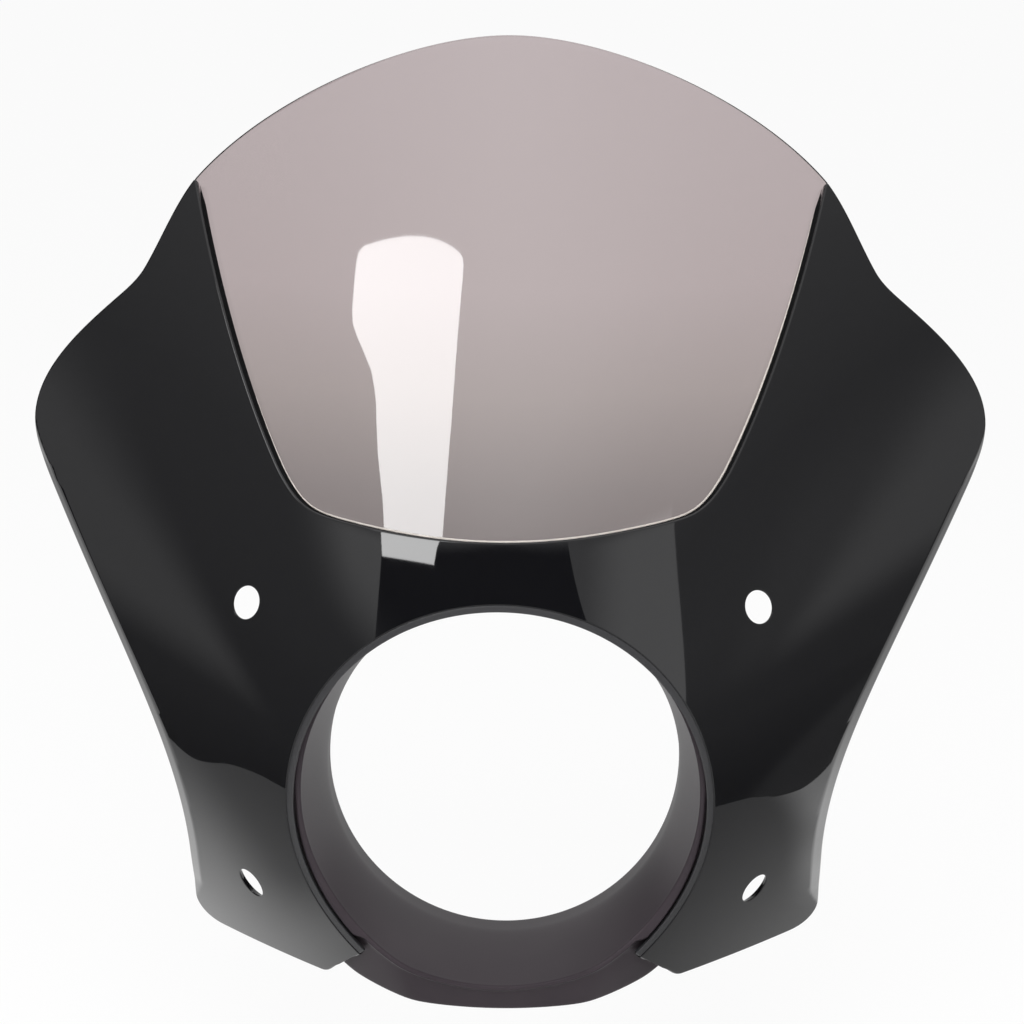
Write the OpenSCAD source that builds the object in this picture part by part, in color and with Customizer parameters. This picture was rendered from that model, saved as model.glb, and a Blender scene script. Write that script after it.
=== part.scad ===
// Motorcycle headlight cowl: a moulded shell, a smoked windscreen bonded behind it
// and a round collar that carries the lamp.
// The lamp's axis is Y. The front looks along -Y, +Z is up, and X = 0 is the middle.
// The origin is on the lamp's axis, at the collar's rear edge. Sizes are in millimetres.

/* [Moulded surface] */
// Reach of the nose ahead of the collar's rear edge
nose_reach = 115; // [100:1:130]
// Drop of the foremost point of the side profile below the lamp's axis
nose_drop = 5.5; // [0:0.5:12]
// Rounding of the side profile between the chin and the screen
nose_round = 73; // [62:1:90]
// Rake of the screen: mm back for each mm up
screen_rake = 0.73; // [0.6:0.01:0.82]
// Rake of the chin: mm back for each mm down
chin_rake = 0.8; // [0.7:0.01:0.9]
// Rake of the sides at the lamp's height: mm back for each mm sideways
side_rake = 1.19; // [1.05:0.01:1.3]
// Rake that the sides lose on the way up to the upper corners
rake_loss = 1.08; // [0.9:0.01:1.2]
// Easing of that loss towards the upper corners
rake_ease = 0.51; // [0.35:0.01:0.6]
// Rounding of the surface across the middle
side_round = 80; // [70:1:92]

/* [Shell] */
// Wall of the shell
shell_wall = 3; // [2.4:0.1:3.6]
// Rounding of the shell's free edges
edge_round = 0.9; // [0.5:0.1:1.1]
// Half width across the ears
ear_x = 208.3; // [202:0.1:214]
// Height of the widest point of the ears
ear_z = 136; // [130:1:142]
// Rise of the ears' upper edge above the widest point
ear_rise = 52; // [48:1:55]
// Length of the ears' rounding below the widest point
ear_fall = 27; // [22:1:34]
// Half width at the waist above the ears
waist_x = 159; // [156:0.5:163]
// Height of the waist
waist_z = 202.5; // [199:0.5:206]
// Half width at the upper corners, where shell and screen end together
corner_x = 139; // [136:0.5:142]
// Height of the upper corners
corner_z = 239; // [234:1:244]
// Half width of the lower sides
foot_x = 138.9; // [134:0.1:143]
// Height of the lower edge
foot_z = -89; // [-92:0.5:-87]
// Rise of the lower edge towards the middle
foot_rise = 2.3; // [1:0.1:3]
// Radius of the lower outer corners
foot_r = 13; // [8:0.5:18]
// Height at which the lower sides start to flare
flare_z = -45; // [-60:1:-35]

/* [Window] */
// Height of the window's lower edge in the middle
window_z = 107.6; // [105:0.2:111]
// Half width of the window where its sides meet the lower corners
window_x = 94; // [90:0.5:98]
// Height at which the window's sides meet the lower corners
window_side_z = 129; // [125:1:134]
// Width of the window's lower corners
window_round = 28; // [22:1:34]
// Rise of the window's lower edge at its corners
window_rise = 4.2; // [3:0.1:6]

/* [Lamp opening] */
// Radius of the opening at the shell's face
opening_r = 88.5; // [86.5:0.1:90]
// Drop of the opening's centre below the lamp's axis
opening_drop = 3.5; // [2:0.1:4.5]
// Radius of the rolled rim
rim_r = 3.4; // [2.6:0.1:3.8]
// Land of the rim behind its rounding
rim_land = 2; // [1.2:0.1:2.6]
// Angle of the shell's lower ends, below the horizontal
end_angle = 48.8; // [46:0.1:51]
// Distance of the shell's lower ends from the opening's centre
end_r = 103; // [101:0.5:105]
// Width of the lower ends' rounded tip
end_round = 9.5; // [7:0.5:12]

/* [Bolt holes] */
// Diameter of the bolt holes
bolt_d = 14; // [10:0.5:16]
// Distance of the upper bolt holes from the middle
upper_bolt_x = 106.3; // [103:0.1:112]
// Height of the upper bolt holes
upper_bolt_z = 75.2; // [70:0.1:78]
// Distance of the lower bolt holes from the middle
lower_bolt_x = 107.3; // [105:0.1:112]
// Height of the lower bolt holes
lower_bolt_z = -51.4; // [-58:0.1:-46]

/* [Windscreen] */
// Thickness of the screen
screen_wall = 3; // [2.4:0.1:3.6]
// Height of the screen's top edge
screen_top_z = 305; // [299:0.5:310]
// Lap of the screen behind the shell
screen_lap = 9; // [6:0.5:10.5]
// Depth of the screen's blunt corners behind the shell's tips
screen_tip = 7; // [5:0.5:9]
// Bond line between the shell and the screen
bond_gap = 0.3; // [0.2:0.05:0.4]

/* [Collar] */
// Inside diameter of the collar's rear sleeve
bore_d = 150; // [146:0.5:153]
// Length of the rear sleeve
bore_len = 14; // [10:1:20]
// Inside radius of the collar's front lip
lip_r = 82.2; // [81.4:0.1:82.6]
// Width of the front lip
lip_w = 2.4; // [1.8:0.1:2.6]
// Lead of the lip ahead of the flange where the rim leaves it room
lip_lead = 1.4; // [0.8:0.1:2]
// Wall of the collar
collar_wall = 2.5; // [2:0.1:3]
// Outside radius of the flange behind the shell
flange_r = 105; // [103:0.5:107]
// Clearance between the screen's lower edge and the flange's flat upper edge
flange_clear = 4; // [3:0.5:7]
// Place of the chin's face under the lip, ahead of the collar's rear edge
chin_reach = 66; // [62:0.5:69]
// Lean of the chin: mm back for each mm down
chin_lean = 0.45; // [0.3:0.01:0.6]
// Height of the chin's lower edge in the middle
chin_z = -94.4; // [-97:0.2:-92]
// Radius of the chin's lower edge
chin_edge_r = 205; // [170:5:240]
// Clearance between the rim of the shell and the collar
collar_gap = 0.3; // [0.2:0.05:0.5]

/* [Hidden] */
$fn = 96;

// The moulded surface gives y for a place [x, z] as seen from the front.
// Its side profile and its section across are hyperbolas: round in the middle and
// straight far out. The sides sweep back less and less towards the upper corners.
function back(s, w) = sqrt(s * s + w * w) - w;
function sweep(z) =
    let (h = z / corner_z) side_rake - rake_loss * h + rake_ease * h * h;
function sweep_slope(z) = (-rake_loss + 2 * rake_ease * z / corner_z) / corner_z;
rake_sum = (screen_rake + chin_rake) / 2;
rake_skew = (screen_rake - chin_rake) / 2;
function profile(z) =
    let (s = z + nose_drop) -nose_reach + rake_sum * back(s, nose_round) + rake_skew * s;
function face_y(p) = profile(p[1]) + sweep(p[1]) * back(p[0], side_round);

// Slopes of the surface, and the direction into the shell
function slope_x(p) = sweep(p[1]) * p[0] / norm([p[0], side_round]);
function slope_z(p) =
    let (s = p[1] + nose_drop)
    rake_sum * s / norm([s, nose_round]) + rake_skew
        + sweep_slope(p[1]) * back(p[0], side_round);
function inward(p) = let (n = [-slope_x(p), 1, -slope_z(p)]) n / norm(n);
function on_face(p, depth) = [p[0], face_y(p), p[1]] + depth * inward(p);
function behind_face(p, dy) = [p[0], face_y(p) + dy, p[1]];

// Curves in the front view. The two middle points of a run lie along its end
// directions, at shares of the distance between its ends.
function bezier(c, t) =
    pow(1 - t, 3) * c[0] + 3 * t * pow(1 - t, 2) * c[1]
        + 3 * t * t * (1 - t) * c[2] + pow(t, 3) * c[3];
function run_of(a, b, leaving, arriving) =
    let (d = norm(b - a)) [a, a + d * leaving, b - d * arriving, b];
function mirrored(p) = [-p[0], p[1]];
function from_opening(r, a) = [r * cos(a), -opening_drop + r * sin(a)];
function soft_max(a, b, r) = (a + b + sqrt((a - b) * (a - b) + r * r)) / 2;
function soft_min(a, b, r) = -soft_max(-a, -b, r);

// Turning points of the shell's half outline
end_foot = from_opening(end_r, -end_angle);
foot_start = [end_foot[0] + end_round, foot_z + foot_rise];
foot_corner = [foot_x - foot_r, foot_z];
side_foot = [foot_x, foot_z + foot_r];
side_flare = [foot_x - 0.04 * foot_r, flare_z];
ear_low = [ear_x - ear_fall / 3, ear_z - ear_fall];
ear_tip = [ear_x, ear_z];
ear_top = [ear_x - 0.68 * ear_rise, ear_z + ear_rise];
waist = [waist_x, waist_z];
corner = [corner_x, corner_z];
window_side = [window_x, window_side_z];
window_foot = [window_x - window_round, window_z + window_rise];
window_mid = [0, window_z];

// The window's three half runs, from the upper corner to the middle
side_run = run_of(corner, window_side, [-0.064, -0.246], [-0.17, -0.288]);
round_run = run_of(window_side, window_foot, [-0.289, -0.441], [-0.395, -0.058]);
sill_run = run_of(window_foot, window_mid, [-0.303, -0.039], [-0.393, 0]);

// The shell's half outline, from its lower end round the ear to the window's middle.
// Each row holds a run, its number of steps and the rim angle that it ends at.
outline_runs = [
    [run_of(end_foot, foot_start, [0.32, -0.36], [0.36, 0.02]), 4, -45],
    [run_of(foot_start, foot_corner, [0.33, -0.004], [0.33, -0.012]), 4, -36],
    [run_of(foot_corner, side_foot, [0.43, -0.016], [0, 0.43]), 5, -30],
    [run_of(side_foot, side_flare, [0, 0.32], [-0.006, 0.32]), 2, -24],
    [run_of(side_flare, ear_low, [0, 0.314], [0.235, 0.44]), 9, 0],
    [run_of(ear_low, ear_tip, [0.157, 0.297], [0.007, 0.35]), 3, 4],
    [run_of(ear_tip, ear_top, [0.003, 0.318], [-0.255, 0.223]), 6, 10],
    [run_of(ear_top, waist, [-0.25, 0.22], [-0.165, 0.284]), 3, 13],
    [run_of(waist, corner, [-0.165, 0.284], [-0.2, 0.264]), 4, 19],
    [side_run, 7, 44],
    [round_run, 5, 62],
    [sill_run, 4, 90]
];
half_outline = [
    [end_foot, -end_angle],
    for (k = [0:len(outline_runs) - 1])
        let (
            run = outline_runs[k],
            a0 = k == 0 ? -end_angle : outline_runs[k - 1][2]
        )
        for (i = [1:run[1]])
            [bezier(run[0], i / run[1]), a0 + (run[2] - a0) * i / run[1]]
];
half_count = len(half_outline);

// Unit direction from the outline into the shell, in the front view
function into_shell(i) =
    let (
        along = half_outline[min(i + 1, half_count - 1)][0] - half_outline[max(i - 1, 0)][0]
    )
    [-along[1], along[0]] / norm(along);

// Rows across the shell, as shares of the way from the opening to the outline
face_shares = [0, 0.12, 0.24, 0.36, 0.48, 0.6, 0.72, 0.86, 1];
inner_start = 0.02;
edge_depths = [0.35, 0.65];
// Rows of the rim: its rounding in front, and the step behind it as [radius, depth]
rim_turns = [90, 60, 30];
rim_depth = rim_r + rim_land;
rim_bulge = rim_land / 2;
rim_steps = [
    [opening_r - 0.06 * rim_r, rim_depth - 0.3 * rim_bulge],
    [opening_r - 0.15 * rim_r, rim_depth + 0.3 * rim_bulge],
    [opening_r - 0.45 * rim_r, rim_depth + rim_bulge],
    [opening_r - 0.85 * rim_r, rim_depth + 0.7 * rim_bulge]
];

// One cross-section of the shell: rim and face outwards, inner face and rim back
function shell_loop(i, side) =
    let (
        a = half_outline[i][1],
        edge = half_outline[i][0],
        start = from_opening(opening_r, a),
        reach = edge + edge_round * into_shell(i) - start,
        turn = function (p) side < 0 ? mirrored(p) : p,
        inner_r = opening_r - rim_r
    )
    [
        behind_face(turn(from_opening(inner_r, a)), rim_depth),
        for (b = rim_turns)
            behind_face(turn(from_opening(opening_r - rim_r * sin(b), a)), rim_r * (1 - cos(b))),
        for (s = face_shares) on_face(turn(start + s * reach), 0),
        for (d = edge_depths) on_face(turn(edge), d * shell_wall),
        for (k = [len(face_shares) - 1:-1:0])
            on_face(turn(start + max(face_shares[k], inner_start) * reach), shell_wall),
        for (s = rim_steps) behind_face(turn(from_opening(s[0], a)), s[1])
    ];

// Solid between a row of loops, with its two ends closed
module loft(loops) {
    n = len(loops[0]);
    end = (len(loops) - 1) * n;
    polyhedron(
        points = [for (loop = loops) each loop],
        faces = [
            for (j = [0:len(loops) - 2]) for (i = [0:n - 1])
                let (a = j * n + i, b = j * n + (i + 1) % n)
                each [[a, b, b + n], [a, b + n, a + n]],
            for (i = [0:n / 2 - 2])
                let (a = i, b = i + 1, c = n - 2 - i, d = n - 1 - i)
                each [
                    [a, d, c], [a, c, b],
                    [end + a, end + c, end + d], [end + a, end + b, end + c]
                ]
        ]
    );
}

// Solid of loops that run all the way round
module ring_loft(loops) {
    n = len(loops[0]);
    count = len(loops);
    polyhedron(
        points = [for (loop = loops) each loop],
        faces = [
            for (j = [0:count - 1]) for (i = [0:n - 1])
                let (a = j * n, b = ((j + 1) % count) * n, k = (i + 1) % n)
                each [[a + i, b + k, a + k], [a + i, b + i, b + k]]
        ]
    );
}

// Cutter for one bolt hole, square to the surface at its place
module bolt_cutter(p) {
    n = inward(p);
    translate(on_face(p, shell_wall / 2))
        rotate([0, acos(n[2]), atan2(n[1], n[0])])
            cylinder(d = bolt_d, h = 2 * bolt_d, center = true);
}

// Moulded shell: lofted from the lamp opening to its outline, open at the chin
module cowl_shell() {
    color([0.05, 0.05, 0.06])
    difference() {
        loft([
            for (i = [0:half_count - 1]) shell_loop(i, -1),
            for (i = [half_count - 2:-1:0]) shell_loop(i, 1)
        ]);
        for (side = [-1, 1]) {
            bolt_cutter([side * upper_bolt_x, upper_bolt_z]);
            bolt_cutter([side * lower_bolt_x, lower_bolt_z]);
        }
    }
}

// The screen's half edges run from the middle (0) to the upper corner (1).
// Its lower edge laps behind the shell, and the lap runs out towards the corner.
screen_steps = 14;
screen_rows = 14;
screen_edge = 0.27 * screen_wall;
lap_run_out = 0.31;
sill_share = 0.34;
round_share = 0.5;
function window_edge(u) =
    u < sill_share ? bezier(sill_run, 1 - u / sill_share)
    : u < round_share ? bezier(round_run, 1 - (u - sill_share) / (round_share - sill_share))
    : bezier(side_run, 1 - (u - round_share) / (1 - round_share));
function screen_low(u) =
    let (
        step = 0.01,
        along = window_edge(min(u + step, 1)) - window_edge(max(u - step, 0)),
        outward = [along[1], -along[0]] / norm(along),
        lap = screen_lap * min(1, (1 - u) / lap_run_out)
    )
    window_edge(u) + lap * outward - [0, screen_tip * pow(u, 6)];
screen_corner = corner + [0, edge_round];
top_run = run_of([0, screen_top_z], screen_corner, [0.3, 0], [0.198, -0.225]);

// One cross-section of the screen, up its outer face and down its inner face
function screen_loop(u) =
    let (
        low = screen_low(abs(u)),
        top = bezier(top_run, abs(u)),
        rise = screen_edge * (top - low) / norm(top - low),
        first = low + rise,
        reach = top - rise - first,
        outer = shell_wall + bond_gap,
        put = function (p, depth) on_face(u < 0 ? mirrored(p) : p, outer + depth)
    )
    [
        put(low, edge_depths[0] * screen_wall),
        for (k = [0:screen_rows]) put(first + reach * k / screen_rows, 0),
        for (d = edge_depths) put(top, d * screen_wall),
        for (k = [screen_rows:-1:0]) put(first + reach * k / screen_rows, screen_wall),
        put(low, edge_depths[1] * screen_wall)
    ];

// Smoked screen: the shell's surface carried on, one wall further back
module windscreen() {
    color([0.45, 0.4, 0.39, 0.45])
    loft([for (k = [-screen_steps:screen_steps]) screen_loop(k / screen_steps)]);
}

// Front of the collar's flange: it follows the shell's rim, and the chin below it
chin_blend = 3;
flange_depth = rim_depth + rim_bulge + collar_gap;
function around(r, a) = [r * cos(a), r * sin(a)];
function chin_y(p) = -chin_reach - chin_lean * (p[1] + lip_r);
function flange_y(p) = soft_max(face_y(p) + flange_depth, chin_y(p), chin_blend);
function on_flange(p, depth) = [p[0], flange_y(p) + depth, p[1]];

// Distance from the lamp's axis to the flange's edge: round, flat under the screen,
// and a wide arc along the chin
function chin_edge(a) =
    let (c = chin_z + chin_edge_r, s = c * sin(a))
    s + sqrt(s * s + chin_edge_r * chin_edge_r - c * c);
flange_top_z = window_z - screen_lap - flange_clear;
function flange_edge(a) =
    let (
        high = sin(a) > 0.5 ? flange_top_z / sin(a) : 2 * flange_r,
        low = sin(a) < -0.2 ? chin_edge(a) : 2 * flange_r
    )
    soft_min(flange_r, min(high, low), chin_blend / 2);

// The lip leads the flange only where it clears the inside of the shell's rim
function rim_inside(a) =
    let (r = opening_r - rim_r, c = opening_drop * cos(a))
    -opening_drop * sin(a) + sqrt(r * r - c * c);
lip_out = lip_r + lip_w;
function lead_at(a) =
    lip_lead * max(0, min(1, (rim_inside(a) - lip_out - collar_gap) / (2 * collar_gap)));

// One cross-section of the collar: sleeve, cone, lip, flange and back
flange_shares = [0, 0.33, 0.67, 1];
function collar_loop(a) =
    let (
        bore_r = bore_d / 2,
        stock = collar_wall / 3,
        lead = lead_at(a),
        y = flange_y(around(lip_out, a)) - lead,
        root = lip_out + lip_w / 4,
        edge = flange_edge(a),
        reach = edge - stock - root,
        at = function (r, y) [r * cos(a), y, r * sin(a)]
    )
    [
        at(bore_r - stock, 0),
        at(bore_r - stock, -bore_len),
        at(bore_r + stock / 2, -bore_len - stock),
        at(lip_r, y + stock),
        at(lip_r + 0.35 * lip_w, y),
        at(lip_r + 0.75 * lip_w, y),
        at(lip_out, y + min(stock, lead + stock / 4)),
        for (s = flange_shares) on_flange(around(root + s * reach, a), stock / 4),
        on_flange(around(edge, a), stock),
        on_flange(around(edge, a), collar_wall - stock),
        for (k = [len(flange_shares) - 1:-1:0])
            on_flange(around(root + flange_shares[k] * reach, a), collar_wall),
        at(lip_r + 0.85 * collar_wall, y + lead + 1.6 * collar_wall),
        at(bore_r + 1.1 * collar_wall, -bore_len - stock),
        at(bore_r + collar_wall, 0)
    ];

// Collar: a cone from the lamp's sleeve to the lip, with a flange that shows as the chin
ring_steps = 90;
module headlight_collar() {
    color([0.14, 0.14, 0.15])
    difference() {
        ring_loft([for (k = [0:ring_steps - 1]) collar_loop(360 * k / ring_steps)]);
        rotate([90, 0, 0])
            cylinder(d = bore_d, h = 2 * bore_len, center = true);
    }
}

cowl_shell();
windscreen();
headlight_collar();
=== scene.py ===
# %% [markdown]
# # A motorcycle headlight cowl
#
# The object is a glossy black moulded shell that wraps round a headlight. A smoked
# screen is bonded behind its upper window, and a round collar behind its lower opening
# takes the lamp. Three surfaces make the whole thing, so the lesson is about writing a
# surface as a formula, giving it a real wall with rounded edges, and lighting gloss.

import bpy
import numpy as np
from mathutils import Matrix


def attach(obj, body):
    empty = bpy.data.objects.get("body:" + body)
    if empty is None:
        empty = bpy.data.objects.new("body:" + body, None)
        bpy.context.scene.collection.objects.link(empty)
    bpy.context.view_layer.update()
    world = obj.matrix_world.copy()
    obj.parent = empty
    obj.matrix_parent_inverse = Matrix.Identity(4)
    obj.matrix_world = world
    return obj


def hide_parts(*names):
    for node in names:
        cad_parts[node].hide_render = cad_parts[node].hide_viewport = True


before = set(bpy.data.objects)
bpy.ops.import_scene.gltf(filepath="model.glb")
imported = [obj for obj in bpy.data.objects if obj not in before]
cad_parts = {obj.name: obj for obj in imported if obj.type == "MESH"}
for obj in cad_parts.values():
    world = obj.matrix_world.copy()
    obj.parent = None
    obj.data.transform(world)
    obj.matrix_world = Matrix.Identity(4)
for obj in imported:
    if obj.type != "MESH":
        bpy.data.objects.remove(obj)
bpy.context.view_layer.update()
print("nodes in the frame:", sorted(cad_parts))

# %% [markdown]
# ## One formula for the whole face
#
# The real mould was drawn as one sweeping face, and the window, the opening and the
# screen were trimmed out of it. So one formula gives y, the distance back, for every
# place (x, z) seen from the front. A hyperbola is round in the middle and straight far
# out: one runs down the side profile and another runs across. Sizes are in millimetres.

# %% The face as a formula
NOSE_REACH, NOSE_DROP, NOSE_ROUND = 115.0, 5.5, 73.0
SCREEN_RAKE, CHIN_RAKE = 0.73, 0.8
SIDE_RAKE, RAKE_LOSS, RAKE_EASE, SIDE_ROUND = 1.19, 1.08, 0.51, 80.0
RAKE, SKEW = (SCREEN_RAKE + CHIN_RAKE) / 2, (SCREEN_RAKE - CHIN_RAKE) / 2
CORNER = np.array([137.4, 240.8])
CORNER_HEIGHT = 239.0


def back(s, w):
    """Hyperbola sqrt(s^2 + w^2) - w: zero at s = 0, and slope 1 far out."""
    return np.hypot(s, w) - w


def sweep(z):
    """Slope of the sides at height z: it eases off towards the upper corners."""
    h = z / CORNER_HEIGHT
    return SIDE_RAKE - RAKE_LOSS * h + RAKE_EASE * h * h


def face_y(x, z):
    """y = side profile at z + sweep(z) times the hyperbola across x."""
    s = z + NOSE_DROP
    profile = -NOSE_REACH + RAKE * back(s, NOSE_ROUND) + SKEW * s
    return profile + sweep(z) * back(x, SIDE_ROUND)


def inward(x, z):
    """Unit direction into the wall: (-dy/dx, 1, -dy/dz) made one long."""
    s = z + NOSE_DROP
    sweep_slope = (2 * RAKE_EASE * z / CORNER_HEIGHT - RAKE_LOSS) / CORNER_HEIGHT
    slope_x = sweep(z) * x / np.hypot(x, SIDE_ROUND)
    slope_z = RAKE * s / np.hypot(s, NOSE_ROUND) + SKEW + sweep_slope * back(x, SIDE_ROUND)
    n = np.stack([-slope_x, np.ones_like(slope_x), -slope_z], axis=-1)
    return n / np.linalg.norm(n, axis=-1, keepdims=True)


def on_face(p, depth=0.0):
    """Point of the face at the front-view places p, moved into the wall by depth."""
    x, z = p[..., 0], p[..., 1]
    depth = np.broadcast_to(np.asarray(depth, float), x.shape)
    return np.stack([x, face_y(x, z), z], axis=-1) + depth[..., None] * inward(x, z)


print("nose at y =", round(float(face_y(np.array(0.0), np.array(-NOSE_DROP))), 2), "mm")

# %% [markdown]
# ## The outline
#
# Seen from the front, the moulding's edge is a chain of smooth curves: a rounded tip at
# the chin, a straight foot, a flaring side, the ear, a waist, the upper corner, and then
# the window's edge back to the middle. Each is a cubic Bezier whose inner points lie on
# the tangents of its ends, so neighbouring curves join without a kink.

# %% The half outline as a chain of curves
OPENING_R, OPENING_DROP, END_ANGLE = 88.5, 3.5, 48.1


def from_opening(r, degrees):
    """Place at distance r from the opening's centre, at an angle from the horizontal."""
    a = np.radians(degrees)
    return np.stack([r * np.cos(a), -OPENING_DROP + r * np.sin(a)], axis=-1)


def run_points(run, shares):
    """Points of a cubic Bezier from a to b at shares t of its way; its inner points are
    a + d*leaving and b - d*arriving, where d is the distance from a to b."""
    a, b, leaving, arriving = run[:4]
    d = np.linalg.norm(np.subtract(b, a))
    t = np.asarray(shares)[:, None]
    c = np.array([a, a + d * np.array(leaving), b - d * np.array(arriving), b])
    near = (1 - t) ** 3 * c[0] + 3 * t * (1 - t) ** 2 * c[1]
    return near + 3 * t * t * (1 - t) * c[2] + t**3 * c[3]


chin_tip = from_opening(103.0, -END_ANGLE)
foot_start = np.array([chin_tip[0] + 8.8, -87.4])
foot_corner, side_foot, side_flare = np.array([[125.9, -89.0], [138.9, -76.0], [138.38, -45.0]])
ear_low, ear_tip, ear_top = np.array([[199.3, 109.0], [208.3, 136.0], [172.94, 188.0]])
waist = np.array([159.0, 202.5])
corner_low, corner_in = CORNER + 2.0 * np.array([[0.604, -0.797], [-0.252, -0.968]])
window_side, window_foot, window_mid = np.array([[94.0, 129.0], [66.0, 111.8], [0.0, 107.6]])

# Start, end, the two tangents, steps, and the angle on the lamp's rim at the end.
RUNS = [
    (chin_tip, foot_start, (0.32, -0.36), (0.36, 0.02), 12, -45),
    (foot_start, foot_corner, (0.33, -0.004), (0.33, -0.012), 22, -36),
    (foot_corner, side_foot, (0.43, -0.016), (0, 0.43), 14, -30),
    (side_foot, side_flare, (0, 0.32), (-0.006, 0.32), 14, -24),
    (side_flare, ear_low, (0, 0.314), (0.235, 0.44), 62, 0),
    (ear_low, ear_tip, (0.157, 0.297), (0.007, 0.35), 14, 4),
    (ear_tip, ear_top, (0.003, 0.318), (-0.255, 0.223), 26, 10),
    (ear_top, waist, (-0.25, 0.22), (-0.165, 0.284), 12, 13),
    (waist, corner_low, (-0.165, 0.284), (-0.2, 0.264), 20, 19),
    (corner_low, corner_in, (-0.28, 0.37), (-0.117, -0.449), 8, 20),
    (corner_in, window_side, (-0.064, -0.246), (-0.17, -0.288), 52, 44),
    (window_side, window_foot, (-0.289, -0.441), (-0.395, -0.058), 22, 62),
    (window_foot, window_mid, (-0.303, -0.039), (-0.393, 0), 34, 90),
]


def half_outline():
    """The curves end to end: front-view places and the rim angle that each one faces."""
    places, angles, start = [chin_tip[None]], [[-END_ANGLE]], -END_ANGLE
    for run in RUNS:
        steps, end = run[4:]
        places.append(run_points(run, np.linspace(0, 1, steps + 1))[1:])
        angles.append(np.linspace(start, end, steps + 1)[1:])
        start = end
    return np.concatenate(places), np.concatenate(angles)


outline, rim_angle = half_outline()
print("outline points on one side:", len(outline), "- height", outline[:, 1].max(), "mm")

# %% [markdown]
# ## Helpers that turn arrays into pieces
#
# A wall is a row of closed cross-sections. Each section is a loop of points that goes
# out along the front and back along the rear, and quads join one section to the next.
# The end of a row is rounded off and closed like a ladder, point k with its partner on
# the other side of the wall.

# %% Mesh helpers
MM = 0.001


def enclosed_volume(points, quads):
    """Sum over the two triangles of each quad of a.(b x c)/6: positive if they face out."""
    a, b, c, d = points[quads].transpose(1, 0, 2)
    return float((a * np.cross(b, c)).sum() + (a * np.cross(c, d)).sum()) / 6


def make_piece(name, points, quads, slot, node=None, normals=None):
    """Mesh from points in millimetres and quads, riding on the root body. Points that no
    quad uses are dropped, and a skin that faces inwards as a whole is turned over."""
    used, quads = np.unique(quads, return_inverse=True)
    points, quads = points[used] * MM, quads.reshape(-1, 4)
    volume = enclosed_volume(points, quads)
    if volume < 0:
        quads = quads[:, ::-1]
    mesh = bpy.data.meshes.new(name)
    mesh.from_pydata(points.tolist(), [], quads.tolist())
    mesh.update()
    mesh.polygons.foreach_set("use_smooth", np.ones(len(mesh.polygons), bool))
    if normals is not None:
        mesh.normals_split_custom_set_from_vertices(normals[used].tolist())
    piece = bpy.data.objects.new(name, mesh)
    bpy.context.scene.collection.objects.link(piece)
    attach(piece, "root")
    if node:
        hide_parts(node)
    print(name, "has", len(points), "points and", round(abs(volume) * 1e6, 1), "cubic cm")
    return piece


def strip_quads(index):
    """Quads over a grid of point numbers: each cell joins rows i, i+1 and columns j, j+1."""
    quads = np.stack([index[:-1, :-1], index[:-1, 1:], index[1:, 1:], index[1:, :-1]], axis=-1)
    return quads.reshape(-1, 4)


def ladder(loop):
    """Quads across one closed loop: point k is joined with its partner n - 1 - k."""
    n = len(loop)
    k = np.arange(n // 2 - 1)
    return np.stack([loop[k], loop[n - 1 - k], loop[n - 2 - k], loop[k + 1]], axis=-1)


def round_ends(loops, reach=1.1, steps=4):
    """Adds sections past both ends that shrink to the wall's middle as a quarter ellipse:
    reach*sin(f) further out, and cos(f) times the thickness, with f from 0 to 75 degrees."""
    turn = np.radians(np.linspace(0, 75, steps + 1)[1:])
    middle = (loops + loops[:, ::-1]) / 2
    ends = []
    for end, inner in ((0, 1), (-1, -2)):
        way = middle[end] - middle[inner]
        way /= np.linalg.norm(way, axis=-1, keepdims=True)
        ends.append([
            middle[end] + (loops[end] - middle[end]) * np.cos(f) + reach * np.sin(f) * way
            for f in turn
        ])
    return np.concatenate([ends[0][::-1], loops, ends[1]])


# %% [markdown]
# ## The shell's cross-section
#
# Injection moulding gives the same 3 mm wall everywhere, with edges broken by a small
# radius. A Solidify modifier could make that, but not the cut ledge round the lamp, nor
# the lip that turns back along the two flanks. So each section is computed: ledge, front,
# edge, rear, and back to the ledge. Points crowd where the section turns.

# %% Rim, rows and lip
SHELL_WALL, EDGE_ROUND, RIM_R, RIM_LAND = 3.0, 0.9, 3.4, 2.0

# The ledge round the lamp, as (distance in from the opening, distance back): a broken
# edge, a fine groove, a shallow ledge and the start of the bore.
RIM_FRONT = [
    (3.4, 3.6), (3.4, 2.1), (3.38, 1.75), (3.25, 1.45), (3.0, 1.25), (2.3, 1.02), (1.6, 0.78),
    (0.95, 0.52), (0.78, 0.62), (0.62, 0.62), (0.5, 0.5), (0.42, 0.3), (0.3, 0.14), (0.12, 0.03),
]
RIM_BACK = [
    (0.2, 5.0), (0.22, 5.3), (0.35, 5.6), (0.6, 5.95), (0.9, 6.2), (1.35, 6.35), (1.8, 6.4),
    (2.2, 6.38), (2.6, 6.3), (2.9, 6.15), (3.1, 5.95), (3.3, 5.7), (3.4, 5.4), (3.4, 4.8),
]
# Rows of the face: distances from the opening, shares of what is left, and distances
# from the edge.
NEAR_RIM = [0, 0.25, 0.6, 1.2, 2.2]
NEAR_EDGE = [6.5, 5.2, 4.3, 3.7, 3.2, 2.7, 2.2, 1.7, 1.2, 0.7, 0.3, 0]
MIDDLE_ROWS, BACK_START = 34, 0.3
LIP_RISE, LIP_WIDTH, LIP_TURN = 0.95, 3.9, 0.6
LIP_TOP, LIP_FULL, LIP_FOOT, LIP_SPREAD = 140.0, 120.0, -80.0, 1.3
LIP_FADE, SPREAD_DROP, TIP_SETTLE = 12.0, 150.0, 6.0
EAR_STATION = sum(run[4] for run in RUNS[:7])


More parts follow.
